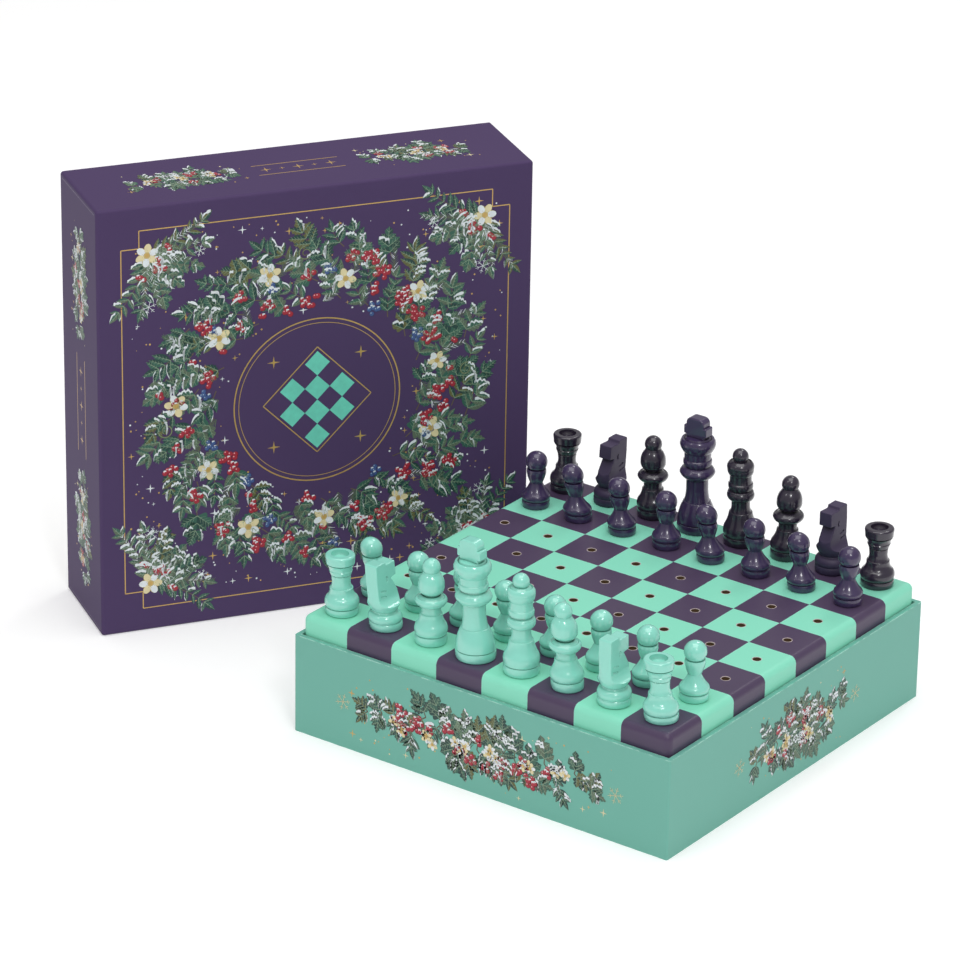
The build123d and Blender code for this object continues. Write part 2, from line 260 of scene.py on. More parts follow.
def newMaterial(name, groupName, values, roughness, bump, bumpDistance, wear=None, **sockets):
    material = bpy.data.materials.new(name)
    material.use_nodes = True
    tree = material.node_tree
    shader = tree.nodes["Principled BSDF"]
    effect = addNode(tree, "ShaderNodeGroup", values, node_tree=groups[groupName])
    relief = addNode(tree, "ShaderNodeBump", {"Strength": bump, "Distance": bumpDistance})
    painted = effect.outputs["Colour"]
    if wear:
        wornAndLit = addNode(tree, "ShaderNodeGroup", wear, node_tree=groups["wear"])
        tree.links.new(painted, wornAndLit.inputs["Colour"])
        painted = wornAndLit.outputs["Colour"]
    tree.links.new(painted, shader.inputs["Base Color"])
    tree.links.new(effect.outputs["Height"], relief.inputs["Height"])
    tree.links.new(relief.outputs["Normal"], shader.inputs["Normal"])
    shader.inputs["Roughness"].default_value = roughness
    for key, value in sockets.items():
        shader.inputs[key.replace("_", " ")].default_value = value
    return material


# Papers and card

# the lighter edge colours stand both for print thinned by use and for a painted highlight along the rounded
# edges
paperLook = {
    "mintTray": {"colour": (114, 180, 164), "shade": (86, 148, 134), "roughness": 0.45,
                 "worn": (188, 232, 218), "amount": 0.9},
    "lightSquare": {"colour": (140, 224, 196), "shade": (108, 196, 168), "roughness": 0.38,
                    "worn": (186, 242, 224), "amount": 0.6},
    "darkSquare": {"colour": (80, 66, 92), "shade": (56, 44, 66), "roughness": 0.33,
                   "worn": (142, 128, 156), "amount": 0.6},
    "purpleLid": {"colour": (79, 63, 99), "shade": (58, 45, 76), "roughness": 0.5, "sheen": 0.08,
                  "worn": (164, 148, 180), "amount": 0.9},
    "plainLining": {"colour": (236, 234, 228), "shade": (210, 206, 196), "roughness": 0.8},
    "cutEdge": {"colour": (206, 190, 186), "shade": (120, 100, 96), "roughness": 0.8},
    # the card's brown is darkened nearly to black, painted shade for the insides of the peg holes
    "holeShadedGreyCard": {"colour": (104, 80, 54), "shade": (34, 26, 18), "roughness": 0.9},
}
paperSheen = 0.3
paperFibre = {"Cloud Scale": 18.0, "Cloud Amount": 0.12, "Fibre Scale": 2600.0, "Fibre Amount": 0.12}
paperRelief = {"bump": 0.12, "bumpDistance": 0.00005}
paperOf = {
    "tray_carton": "holeShadedGreyCard", "tray_wrap": "mintTray", "tray_liner": "plainLining",
    "board_carton": "holeShadedGreyCard", "board_stiffener": "holeShadedGreyCard",
    "light_squares": "lightSquare", "dark_squares": "darkSquare",
    "lid_carton": "holeShadedGreyCard", "lid_wrap": "purpleLid", "lid_liner": "plainLining",
}


def paperMaterial(name):
    look = paperLook[name]
    wear = {"Worn Colour": tone(*look["worn"]), "Amount": look["amount"]} if "worn" in look else None
    sheen = look.get("sheen", paperSheen)
    return newMaterial(
        name, "paper", {"Colour": tone(*look["colour"]), "Shade": tone(*look["shade"]), **paperFibre},
        roughness=look["roughness"], wear=wear, Specular_IOR_Level=sheen, **paperRelief,
    )


def paint(name, material):
    data = nodes[name].data
    data.materials.clear()
    data.materials.append(material)


papers = {name: paperMaterial(name) for name in paperLook}
for name, look in paperOf.items():
    paint(name, papers[look])
print("papers painted")


# Lacquer of the men: the dark ones differ a little from piece to piece

# the third colour of each look is painted shade, laid into grooves and hollows
lacquerLook = {
    "light": {"colour": (142, 220, 202), "thin": (122, 204, 186), "grooveShade": (26, 104, 82),
              "roughness": 0.24, "coat": 0.9},
    "dark": {"colour": (42, 34, 52), "thin": (32, 26, 40), "grooveShade": (10, 7, 14),
             "roughness": 0.28, "coat": 0.6},
    "violet": {"colour": (60, 46, 84), "thin": (44, 33, 62), "grooveShade": (12, 8, 20),
               "roughness": 0.28, "coat": 0.6},
    "matt": {"colour": (60, 48, 78), "thin": (44, 35, 60), "grooveShade": (12, 8, 18),
             "roughness": 0.55, "coat": 0.0},
}
lacquerRelief = {"bump": 0.1, "bumpDistance": 0.0001}
coatRoughness = 0.08
menKinds = ("rook", "knight", "bishop", "king", "queen", "pawn")


def lacquerMaterial(name):
    look = lacquerLook[name]
    colours = {
        "Colour": tone(*look["colour"]),
        "Thin Colour": tone(*look["thin"]),
        "Groove Shade Colour": tone(*look["grooveShade"]),
    }
    return newMaterial(
        name + "Lacquer", "lacquer", colours,
        roughness=look["roughness"], Coat_Weight=look["coat"], Coat_Roughness=coatRoughness, **lacquerRelief,
    )


def lacquerFor(name):
    if name.startswith("light"):
        return lacquers["light"]
    if "knight" in name:
        return lacquers["matt"]
    return lacquers["violet" if "pawn" in name or "king" in name else "dark"]


lacquers = {name: lacquerMaterial(name) for name in lacquerLook}
for name in nodes:
    if name.split("_")[1] in menKinds:
        paint(name, lacquerFor(name))
print("men lacquered")


# Board's driving sizes, the same as in the part's source

board = {"pitch": 20.0, "squares": 8, "top": 46.7}
seat = board["top"]
middleSquare = (board["squares"] - 1) / 2
backRank = middleSquare * board["pitch"]


# Men: each stands a little out of true in its hole, and the knights are carved blocks softened by lacquer

stance = {
    "light_rook_1": (-2.3, 0.4), "light_knight_1": (-6.3, 0.0), "light_bishop_1": (-0.3, 0.2),
    "light_king": (-2.8, 0.4), "light_queen": (-1.3, 0.6), "light_bishop_2": (-4.4, 0.3),
    "light_knight_2": (-2.1, 0.0), "light_rook_2": (-4.1, 0.4),
    "light_pawn_1": (-5.5, 0.0), "light_pawn_2": (-2.0, 0.0), "light_pawn_4": (-4.3, 0.0),
    "dark_knight_1": (2.6, 0.0), "dark_bishop_1": (-1.0, 0.0), "dark_king": (-0.9, -0.4),
    "dark_queen": (-2.1, 0.0), "dark_bishop_2": (1.4, 0.0),
    "dark_pawn_2": (-8.5, 0.0), "dark_pawn_3": (-5.4, 0.0), "dark_pawn_4": (-1.8, 0.0),
    "dark_pawn_5": (-7.0, 0.0), "dark_pawn_6": (-3.9, 0.0), "dark_pawn_7": (-5.4, 0.0),
}
upright = (0.0, 0.0)
shotRight = (math.cos(math.radians(shot["azimuth"])), math.sin(math.radians(shot["azimuth"])))


def leanMan(mesh, lean):
    # the lean is in degrees, to the right and to the back of the photograph
    across, away = (math.tan(math.radians(a)) for a in lean)
    shiftX = across * shotRight[0] - away * shotRight[1]
    shiftY = across * shotRight[1] + away * shotRight[0]
    for point in mesh.vertices:
        rise = max(0.0, point.co.z - seat * mm)
        point.co.x += shiftX * rise
        point.co.y += shiftY * rise


carving = {
    "voxel": 0.16,
    "softening": 6,
    "softness": 0.5,
    "turnedBelow": 6,
    "slashWide": 0.34,
    "slashDeep": 0.42,
    "slashReach": 2.6,
    "slashRows": (11.2, 13.2, 15.3),
    "back": 5.2,
    "half": 2.6,
    "backCut": {"starts": (-1.7, 0.1), "long": 1.3, "rise": 0.1, "proud": 0.1},
    "sideCut": {"start": -4.1, "step": 0.35, "long": 2.2, "above": 0.4, "below": 0.1},
    "lowCut": {"from": 1.2, "to": 2.9, "fromBelow": 1.4, "toBelow": 1.8},
    "nick": {"across": -0.4, "high": 19.4, "radius": 1.0, "turns": (-50, -15, 20, 55)},
}


def slashes(c, front):
    # in the knight's own frame: short cuts on the back and both flat sides, a curved nick on each side
    cuts = []
    back, side, low, nick = c["backCut"], c["sideCut"], c["lowCut"], c["nick"]
    atBack = -c["back"] - back["proud"]
    flats = (c["half"], -c["half"])
    for row, high in enumerate(c["slashRows"]):
        for x in back["starts"]:
            cuts.append(((x, atBack, high), (x + back["long"], atBack, high + back["rise"])))
        start = side["start"] + side["step"] * row
        for x in flats:
            cuts.append(((x, start, high + side["above"]), (x, start + side["long"], high - side["below"])))
            if row == 0:
                cuts.append(((x, start + low["from"], high - low["fromBelow"]),
                             (x, start + low["to"], high - low["toBelow"])))
    for x in flats:
        turns = [math.radians(turn) for turn in nick["turns"]]
        arc = [(x, nick["across"] + nick["radius"] * math.cos(a), nick["high"] + nick["radius"] * math.sin(a))
               for a in turns]
        cuts += list(zip(arc, arc[1:]))
    return [tuple(Vector((x, y * front, z)) for x, y, z in cut) for cut in cuts]


def carveKnight(name, c, lean):
    front = 1 if name.startswith("light") else -1
    low, high = (Vector(corner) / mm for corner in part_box(name))
    centre = Vector(((low.x + high.x) / 2, -front * backRank, seat))
    mesh = nodes[name].data.copy()
    piece = newPiece(name + "_carved", mesh)
    remesh = piece.modifiers.new("remesh", "REMESH")
    remesh.mode = "VOXEL"
    remesh.voxel_size = c["voxel"] * mm
    smooth = piece.modifiers.new("smooth", "SMOOTH")
    smooth.factor = c["softness"]
    smooth.iterations = c["softening"]
    depsgraph = bpy.context.evaluated_depsgraph_get()
    carved = bpy.data.meshes.new_from_object(piece.evaluated_get(depsgraph))
    piece.modifiers.clear()
    piece.data = carved
    cuts = slashes(c, front)
    for point in carved.vertices:
        spot = point.co / mm - centre
        if spot.z < c["turnedBelow"]:
            continue
        near = math.inf
        for start, end in cuts:
            if abs(spot.z - start.z) > c["slashReach"]:
                continue
            run = end - start
            share = max(0.0, min(1.0, (spot - start).dot(run) / run.length_squared))
            near = min(near, (spot - start - run * share).length)
        if near < c["slashWide"]:
            depth = c["slashDeep"] * (1 - (near / c["slashWide"]) ** 2)
            point.co -= point.normal * depth * mm
    leanMan(carved, lean)
    for polygon in carved.polygons:
        polygon.use_smooth = True
    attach(piece, name)
    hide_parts(name)


def standMan(name, lean):
    mesh = nodes[name].data.copy()
    leanMan(mesh, lean)
    piece = newPiece(name + "_lacquered", mesh)
    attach(piece, name)
    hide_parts(name)


for name in list(nodes):
    if "knight" in name:
        carveKnight(name, carving, stance.get(name, upright))
    elif name in stance:
        standMan(name, stance[name])
print("men stood and carved")


# Peg holes: a pale, slightly torn ring of cut paper round each

holeRim = {
    "inner": 1.6, "outer": 1.84, "uneven": 0.09, "waves": (2, 3, 5), "grain": 0.3, "proud": 0.03,
    "slope": 0.8, "innerRound": 0.08, "outerRound": 0.06, "lip": 0.01, "deep": 0.3, "sides": 28, "seed": 5,
}


def holeRims(h):
    chance = random.Random(h["seed"])
    points, faces = [], []
    for file in range(board["squares"]):
        for rank in range(board["squares"]):
            x0, y0 = (file - middleSquare) * board["pitch"], (rank - middleSquare) * board["pitch"]
            first = len(points)
            wobble = [chance.uniform(0, 2 * math.pi) for _ in h["waves"]]
            for k in range(h["sides"]):
                a = 2 * math.pi * k / h["sides"]
                tear = sum(math.sin(n * a + w) / n for n, w in zip(h["waves"], wobble)) * h["uneven"]
                tear += chance.uniform(-h["grain"], h["grain"]) * h["uneven"]
                outer = h["outer"] + tear
                profile = (
                    (h["inner"], seat - h["deep"]),
                    (h["inner"] - h["lip"], seat),
                    (h["inner"] + h["innerRound"], seat + h["proud"]),
                    (outer - h["outerRound"], seat + h["proud"] * h["slope"]),
                    (outer, seat - h["lip"]),
                )
                for r, z in profile:
                    points.append((Vector((x0 + r * math.cos(a), y0 + r * math.sin(a), z))) * mm)
            loop = len(profile)
            for k in range(h["sides"]):
                for j in range(loop):
                    i0, i1 = first + k * loop, first + (k + 1) % h["sides"] * loop
                    faces.append((i0 + j, i1 + j, i1 + (j + 1) % loop, i0 + (j + 1) % loop))
    mesh = bpy.data.meshes.new("hole_rims")
    mesh.from_pydata(points, [], faces)
    mesh.materials.append(papers["cutEdge"])
    for polygon in mesh.polygons:
        polygon.use_smooth = True
    rims = newPiece("hole_rims", mesh)
    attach(rims, "board")


holeRims(holeRim)
print("hole rims torn")


# Printed decoration: flat shapes of ink laid in thin layers on a face of the tray or the lid

inkTones = {
    "mintSeam": (152, 208, 192),
    "violetSeam": (116, 100, 134),
    "leafDeep": (26, 66, 60),
    "leafMid": (52, 100, 84),
    "leafGrey": (96, 112, 92),
    "leafOlive": (104, 104, 58),
    "leafVein": (142, 168, 140),
    "twig": (98, 84, 66),
    "berry": (176, 34, 56),
    "berryShade": (120, 20, 44),
    "berryShine": (244, 190, 196),
    "blueBerry": (66, 92, 150),
    "blueShade": (38, 52, 104),
    "petal": (240, 226, 178),
    "petalShade": (208, 184, 120),
    "gold": (214, 174, 98),
    "frost": (240, 246, 250),
    "frostShade": (176, 196, 214),
    "mint": (116, 224, 200),
}
inkNames = list(inkTones)
inkShade = 0.72
inkFibre = {"Cloud Scale": 420.0, "Cloud Amount": 0.5, "Fibre Scale": 2600.0, "Fibre Amount": 0.2}
inkRelief = {"bump": 0.1, "bumpDistance": 0.00004}
inkFinish = {"plain": {"roughness": 0.42, "Metallic": 0.0}, "gold": {"roughness": 0.28, "Metallic": 0.25}}
inkLift = {"first": 0.012, "step": 0.006}
layers = {"seam": 0, "rule": 1, "speck": 2, "stem": 2, "square": 2, "line": 3, "needle": 8,
          "shade": 9, "body": 10, "mark": 12, "top": 13}

inks = {}
for name, colour in inkTones.items():
    shade = (c * inkShade for c in colour)
    inks[name] = newMaterial(
        name + "Ink", "paper", {"Colour": tone(*colour), "Shade": tone(*shade), **inkFibre},
        **inkRelief, **inkFinish["gold" if name == "gold" else "plain"],
    )


def sidePlace(origin, right, out):
    up = Vector(out).cross(Vector(right))
    return {"origin": Vector(origin), "right": Vector(right), "up": up, "out": Vector(out)}


def newPrint(name, body, place, seed, halfHigh):
    # nothing is printed beyond halfHigh, where the paper turns the edge of the wall
    return {"name": name, "body": body, "place": place, "points": [], "faces": [], "inks": [],
            "chance": random.Random(seed), "halfHigh": halfHigh}


def turnPoint(at, angle, x, y):
    c, s = math.cos(angle), math.sin(angle)
    return (at[0] + c * x - s * y, at[1] + s * x + c * y)


def ink(sheet, colour, outline, level):
    place = sheet["place"]
    if max(abs(y) for _, y in outline) > sheet["halfHigh"]:
        return
    first = len(sheet["points"])
    lift = inkLift["first"] + inkLift["step"] * level
    for x, y in outline:
        spot = place["origin"] + place["right"] * x + place["up"] * y + place["out"] * lift
        sheet["points"].append(spot * mm)
    sheet["faces"].append(list(range(first, len(sheet["points"]))))
    sheet["inks"].append(inkNames.index(colour))


def printed(sheet):
    mesh = bpy.data.meshes.new(sheet["name"])
    mesh.from_pydata(sheet["points"], [], sheet["faces"])
    for name in inkNames:
        mesh.materials.append(inks[name])
    mesh.polygons.foreach_set("material_index", sheet["inks"])
    mesh.update()
    piece = newPiece(sheet["name"], mesh)
    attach(piece, sheet["body"])


def strip(sheet, colour, path, width, level, taper=0.0):
    left, right = [], []
    for k, (x, y) in enumerate(path):
        x0, y0 = path[max(k - 1, 0)]
        x1, y1 = path[min(k + 1, len(path) - 1)]
        length = math.hypot(x1 - x0, y1 - y0)
        half = width / 2 * (1 - taper * k / (len(path) - 1))
        side = (-(y1 - y0) / length * half, (x1 - x0) / length * half)
        left.append((x + side[0], y + side[1]))
        right.append((x - side[0], y - side[1]))
    ink(sheet, colour, right + left[::-1], level)


def disc(sheet, colour, at, radius, level, sides=10, squash=1.0, angle=0.0):
    ink(sheet, colour, [
        turnPoint(at, angle, radius * math.cos(a), radius * squash * math.sin(a))
        for a in (2 * math.pi * k / sides for k in range(sides))
    ], level)


starDraw = {"points": 4, "waist": 0.2}


def star(sheet, colour, at, radius, level):
    points = starDraw["points"]
    reach = (radius, radius * starDraw["waist"])
    ink(sheet, colour, [
        turnPoint(at, math.pi * k / points + math.pi / 2, reach[k % 2], 0)
        for k in range(2 * points)
    ], level)


# Leaves, their veins and the frost on their upper edges

leafShapes = {
    "oak": {"lobes": 4, "depth": 0.42, "width": 0.62, "steps": 24},
    "laurel": {"lobes": 0, "depth": 0.0, "width": 0.42, "steps": 10},
    "ivy": {"lobes": 2, "depth": 0.5, "width": 0.86, "steps": 16},
}
leafDraw = {
    "fullest": 0.8,
    "layers": (3, 4, 5, 6, 7),
    "veinLift": 5,
    "rib": {"width": 0.28, "taper": 0.8},
    "vein": {"width": 0.16, "taper": 0.6, "reach": 0.3, "slant": 0.8, "tipRoom": 1.5},
    "longLeaf": 6,
    "longVeins": 4,
    "shortVeins": 2,
    "frost": {"starts": (2, 4), "thin": 0.25, "more": 0.5, "inside": 0.8},
}


def leafEdge(shape, length):
    edge = []
    for k in range(shape["steps"] + 1):
        t = k / shape["steps"]
        swell = math.sin(math.pi * t ** leafDraw["fullest"]) * shape["width"] * length / 2
        if shape["lobes"]:
            swell *= 1 - shape["depth"] * (1 - abs(math.sin(math.pi * shape["lobes"] * t)))
        edge.append((t * length, swell))
    return edge


def leaf(sheet, kind, at, angle, length, colours, frosted):
    chance = sheet["chance"]
    ribLook, veinLook, frostLook = leafDraw["rib"], leafDraw["vein"], leafDraw["frost"]
    level = chance.choice(leafDraw["layers"])
    veinLevel = level + leafDraw["veinLift"]
    edge = leafEdge(leafShapes[kind], length)
    rib = [turnPoint(at, angle, x, 0) for x, _ in edge]
    sides = {side: [turnPoint(at, angle, x, side * y) for x, y in edge] for side in (1, -1)}
    ink(sheet, colours[0], sides[1] + rib[::-1], level)
    ink(sheet, colours[1], rib + sides[-1][::-1], level)
    middle = [rib[0], rib[len(rib) // 2], rib[-1]]
    strip(sheet, "leafVein", middle, ribLook["width"], veinLevel, ribLook["taper"])
    veins = leafDraw["longVeins"] if length > leafDraw["longLeaf"] else leafDraw["shortVeins"]
    for k in range(1, veins + 1):
        root = k / (veins + veinLook["tipRoom"])
        reach = leafShapes[kind]["width"] * length * veinLook["reach"]
        for side in (1, -1):
            start = turnPoint(at, angle, root * length, 0)
            slant = reach * veinLook["slant"]
            end = turnPoint(at, angle, root * length + slant, side * reach * veinLook["slant"])
            strip(sheet, "leafVein", [start, end], veinLook["width"], veinLevel, veinLook["taper"])
    if frosted:
        side = 1 if math.cos(angle) > 0 else -1
        first = chance.randrange(*frostLook["starts"])
        run = sides[side][first:len(edge) - 1]
        thick = [frostLook["thin"] + frostLook["more"] * chance.random() for _ in run]
        outer = [(x, y + t) for (x, y), t in zip(run, thick)]
        inner = [(x, y - t * frostLook["inside"]) for (x, y), t in zip(run, thick)]
        ink(sheet, "frost", inner + outer[::-1], layers["top"])


needleDraw = {
    "gap": 0.7, "width": 0.3, "long": 2.6, "first": 1.1, "shrink": 0.6, "lean": 0.6, "leanMore": 0.25,
    "frosted": 0.22, "twigTaper": 0.5, "taper": 0.7,
}


def needles(sheet, at, angle, length, colour):
    chance, n = sheet["chance"], needleDraw
    count = int(length / n["gap"])
    strip(sheet, "twig", [at, turnPoint(at, angle, length, 0)], n["width"], layers["line"], n["twigTaper"])
    for k in range(count):
        root = turnPoint(at, angle, k * n["gap"], 0)
        for side in (1, -1):
            lean = angle + side * (n["lean"] + n["leanMore"] * chance.random())
            tip = turnPoint(root, lean, n["long"] * (n["first"] - n["shrink"] * k / count), 0)
            tint = "frost" if chance.random() < n["frosted"] else colour
            strip(sheet, tint, [root, tip], n["width"], layers["needle"], n["taper"])


berryDraw = {
    "spread": 0.95, "turn": 2.4, "sides": 12, "shade": 1.05, "shadeShift": (0.12, -0.14), "body": 0.92,
    "shine": 0.26, "shineShift": (-0.3, 0.32), "shineSides": 6, "frosted": 0.35, "frost": 0.6,
    "frostLift": 0.75, "frostSides": 8, "frostSquash": 0.45,
}


def berries(sheet, at, count, radius, colours=("berry", "berryShade", "berryShine")):
    chance, b = sheet["chance"], berryDraw
    spread = radius * math.sqrt(count) * b["spread"]
    for k in range(count):
        turn = k * b["turn"] + chance.random()
        out = spread * math.sqrt(k / count)
        x, y = at[0] + out * math.cos(turn), at[1] + out * math.sin(turn)
        shaded = (x + b["shadeShift"][0], y + b["shadeShift"][1])
        shining = (x + radius * b["shineShift"][0], y + radius * b["shineShift"][1])
        disc(sheet, colours[1], shaded, radius * b["shade"], layers["shade"], b["sides"])
        disc(sheet, colours[0], (x, y), radius * b["body"], layers["body"] + k % 2, b["sides"])
        disc(sheet, colours[2], shining, radius * b["shine"], layers["mark"], b["shineSides"])
        if chance.random() < b["frosted"]:
            capped, size = (x, y + radius * b["frostLift"]), radius * b["frost"]
            disc(sheet, "frost", capped, size, layers["top"], b["frostSides"], b["frostSquash"])


blossomDraw = {
    "petals": 6,
    "under": {"at": 0.58, "size": 0.47, "squash": 0.74},
    "over": {"at": 0.64, "size": 0.42, "squash": 0.72},
    "sides": 10,
    "eye": 0.3,
    "heart": 0.2,
    "heartSides": 8,
    "stamens": {"count": 9, "turn": 0.7, "at": 0.42, "size": 0.14, "sides": 5},
}


def blossom(sheet, at, radius):
    b, under, over, stamens = blossomDraw, blossomDraw["under"], blossomDraw["over"], blossomDraw["stamens"]
    start = sheet["chance"].random() * math.pi
    for k in range(b["petals"]):
        angle = start + 2 * math.pi * k / b["petals"]
        tint = "petal" if k % 2 else "frost"
        level = layers["body"] + k % 2
        for colour, look, level in (("petalShade", under, layers["shade"]), (tint, over, level)):
            middle = turnPoint(at, angle, radius * look["at"], 0)
            disc(sheet, colour, middle, radius * look["size"], level, b["sides"], look["squash"], angle)
    disc(sheet, "petalShade", at, radius * b["eye"], layers["mark"], b["sides"])
    disc(sheet, "gold", at, radius * b["heart"], layers["top"], b["heartSides"])
    for k in range(stamens["count"]):
        spot = turnPoint(at, k * stamens["turn"], radius * stamens["at"], 0)
        disc(sheet, "gold", spot, stamens["size"], layers["top"], stamens["sides"])


flakeDraw = {"arms": 6, "turn": 0.26, "width": 0.22, "branchAt": 0.58, "branchTurn": 0.9, "branchLong": 0.3,
             "branchWidth": 0.18, "taper": 0.3}


def snowflake(sheet, at, radius, colour="frost"):
    f = flakeDraw
    for k in range(f["arms"]):
        angle = 2 * math.pi * k / f["arms"] + f["turn"]
        strip(sheet, colour, [at, turnPoint(at, angle, radius, 0)], f["width"], layers["mark"], f["taper"])
        for side in (1, -1):
            root = turnPoint(at, angle, radius * f["branchAt"], 0)
            tip = turnPoint(root, angle + side * f["branchTurn"], radius * f["branchLong"], 0)
            strip(sheet, colour, [root, tip], f["branchWidth"], layers["mark"], f["taper"])


curlDraw = {"points": 26, "turn": 0.42, "shrink": 30, "width": 0.7, "taper": 0.6,
            "veinPoints": 18, "veinWidth": 0.2}


def curl(sheet, at, angle, radius, colour):
    c = curlDraw
    path = []
    for k in range(c["points"]):
        turn = k * c["turn"]
        path.append(turnPoint(at, angle + turn, radius * (1 - k / c["shrink"]), 0))
    strip(sheet, colour, path, c["width"], layers["shade"], c["taper"])
    strip(sheet, "leafVein", path[:c["veinPoints"]], c["veinWidth"], layers["mark"], c["taper"])


leafTints = [
    ("leafMid", "leafDeep"), ("leafDeep", "leafMid"), ("leafGrey", "leafMid"), ("leafOlive", "leafDeep"),
    ("leafMid", "leafGrey"),
]
sprigDraw = {
    "spacing": 0.5, "fewest": 3, "first": 1.05, "shrink": 0.4, "small": 0.85, "vary": 0.3, "spread": 0.75,
    "spreadMore": 0.35, "width": 0.5, "taper": 0.5,
}


def sprig(sheet, at, angle, length, bend, kind, leafLength, frost):
    chance, s = sheet["chance"], sprigDraw
    colours = chance.choice(leafTints)
    path = [at]
    steps = max(s["fewest"], int(length / (leafLength * s["spacing"])))
    heading = angle
    for k in range(steps):
        path.append(turnPoint(path[-1], heading, length / steps, 0))
        heading += bend / steps
        size = leafLength * (s["first"] - s["shrink"] * k / steps)
        size *= s["small"] + s["vary"] * chance.random()
        for side in (1, -1):
            spread = side * (s["spread"] + s["spreadMore"] * chance.random())
            leaf(sheet, kind, path[-1], heading + spread, size, colours, chance.random() < frost)
    leaf(sheet, kind, path[-1], heading, leafLength, colours, chance.random() < frost)
    strip(sheet, "twig", path, s["width"], layers["stem"], s["taper"])


scatterDraw = {"starred": 0.22, "stars": (0.8, 1.9), "dots": (0.16, 0.42), "dotSides": 7}


def scatter(sheet, count, spread, keepOut, colours=("gold", "frost")):
    chance, s = sheet["chance"], scatterDraw
    placed = 0
    while placed < count:
        spot = (chance.uniform(-spread[0], spread[0]), chance.uniform(-spread[1], spread[1]))
        if keepOut(spot):
            continue
        placed += 1
        tint = chance.choice(colours)
        if chance.random() < s["starred"]:
            star(sheet, tint, spot, chance.uniform(*s["stars"]), layers["speck"])
        else:
            disc(sheet, tint, spot, chance.uniform(*s["dots"]), layers["speck"], s["dotSides"])


ruleWidth = 0.4


def goldFrame(sheet, half, notch):
    corners = []
    for sx, sy in ((1, 1), (-1, 1), (-1, -1), (1, -1)):
        pair = [(sx * half, sy * (half - notch)), (sx * (half - notch), sy * (half - notch)),
                (sx * (half - notch), sy * half)]
        corners += pair if sx * sy > 0 else pair[::-1]
    for k, start in enumerate(corners):
        strip(sheet, "gold", [start, corners[(k + 1) % len(corners)]], ruleWidth, layers["rule"])


def goldRule(sheet, x0, x1, y):
    strip(sheet, "gold", [(x0, y), (x1, y)], ruleWidth, layers["rule"])


ringSides = 96


def ring(sheet, colour, radius, width, level):
    inner, outer = radius - width / 2, radius + width / 2
    for k in range(ringSides):
        a, b = 2 * math.pi * k / ringSides, 2 * math.pi * (k + 1) / ringSides
        corners = ((a, inner), (a, outer), (b, outer), (b, inner))
        ink(sheet, colour, [turnPoint((0, 0), angle, reach, 0) for angle, reach in corners], level)


# Lid's face: a wreath round a chequered medallion, with a spray in each corner of a gold frame

lidDesign = {
    "seed": 11,
    "frame": 76.5,
    "frameNotch": 7.0,
    "pastFrame": 6,
    "medallion": 33.0,
    "medallionWidth": 0.5,
    "innerRing": 1.8,
    "innerRingWidth": 0.25,
    "specks": 520,
    "speckReach": 74,
    "wreathInner": 37.0,
    "wreathOuter": 63.0,
    "leafRows": ((41.0, 24), (48.0, 27), (55.0, 31), (61.5, 34)),
    "leafKinds": ("oak", "laurel", "ivy", "oak", "laurel"),
    "leafBend": -0.5,
    "leafHeading": (0.1, 0.9),
    "leafSizes": (4.6, 7.0),
    "leafFrost": 0.32,
    "sprigSizes": (7, 11),
    "needles": 44,
    "berryBunches": 64,
    "blossoms": 11,
    "blossomSizes": (3.4, 4.6),
    "curls": 8,
}
cornerDesign = {
    "at": 66,
    "fan": (-1.1, -0.78, -0.4, 0.0, 0.4, 0.78, 1.1),
    "ivyWithin": 0.6,
    "sprig": {"long": 14, "more": 9, "bend": 0.4, "leaf": 5.6, "frost": 0.35},
    "needles": {"turn": 0.2, "long": 12, "more": 12},
    "bunch": {"at": 62, "count": 7, "size": 1.2},
    "blossom": {"at": 66.5, "size": 4.4},
    "sideBunch": {"far": 69, "near": 58, "count": 3, "size": 1.1},
    "flakes": {"at": 66, "near": 46, "sizes": (3.0, 2.4)},
}
medallionDesign = {"squares": 4, "side": 7.0, "margin": 1.2, "starAt": 24.5, "starSize": 2.6}
squareCorners = ((-1, -1), (1, -1), (1, 1), (-1, 1))


def wreath(sheet, d):
    chance = sheet["chance"]
    kinds = d["leafKinds"]
    for row, (radius, count) in enumerate(d["leafRows"]):
        for k in range(count):
            turn = 2 * math.pi * (k + 0.5 * row + 0.3 * chance.random()) / count
            at = (radius * math.cos(turn), radius * math.sin(turn))
            heading = turn + math.pi / 2 - chance.uniform(*d["leafHeading"])
            length = chance.uniform(*d["sprigSizes"])
            kind = kinds[(k + row) % len(kinds)]
            size = chance.uniform(*d["leafSizes"])
            sprig(sheet, at, heading, length, d["leafBend"], kind, size, d["leafFrost"])
    for k in range(d["needles"]):
        turn = 2 * math.pi * k / d["needles"] + chance.random() * 0.2
        radius = chance.uniform(d["wreathInner"] + 1, d["wreathOuter"] - 2)
        at = turnPoint((0, 0), turn, radius, 0)
        heading = turn + chance.uniform(-1, 1)
        needles(sheet, at, heading, chance.uniform(*d["sprigSizes"]), "leafGrey")
    for k in range(d["berryBunches"]):
        turn = 2 * math.pi * k / d["berryBunches"] + chance.random() * 0.13
        radius = chance.uniform(d["wreathInner"] + 2, d["wreathOuter"] + 1)
        spot = turnPoint((0, 0), turn, radius, 0)
        if k % 5 == 4:
            berries(sheet, spot, chance.randrange(5, 10), 0.95, ("blueBerry", "blueShade", "frostShade"))
        else:
            berries(sheet, spot, chance.randrange(2, 12), 1.1)
    for k in range(d["blossoms"]):
        turn = 2 * math.pi * (k + 0.35) / d["blossoms"]
        blossom(sheet, turnPoint((0, 0), turn, 49 + 7 * (k % 2), 0), chance.uniform(*d["blossomSizes"]))
    for k in range(d["curls"]):
        turn = 2 * math.pi * (k + 0.1) / d["curls"]
        curl(sheet, turnPoint((0, 0), turn, 60, 0), turn, 3.0, "leafGrey" if k % 2 else "leafOlive")


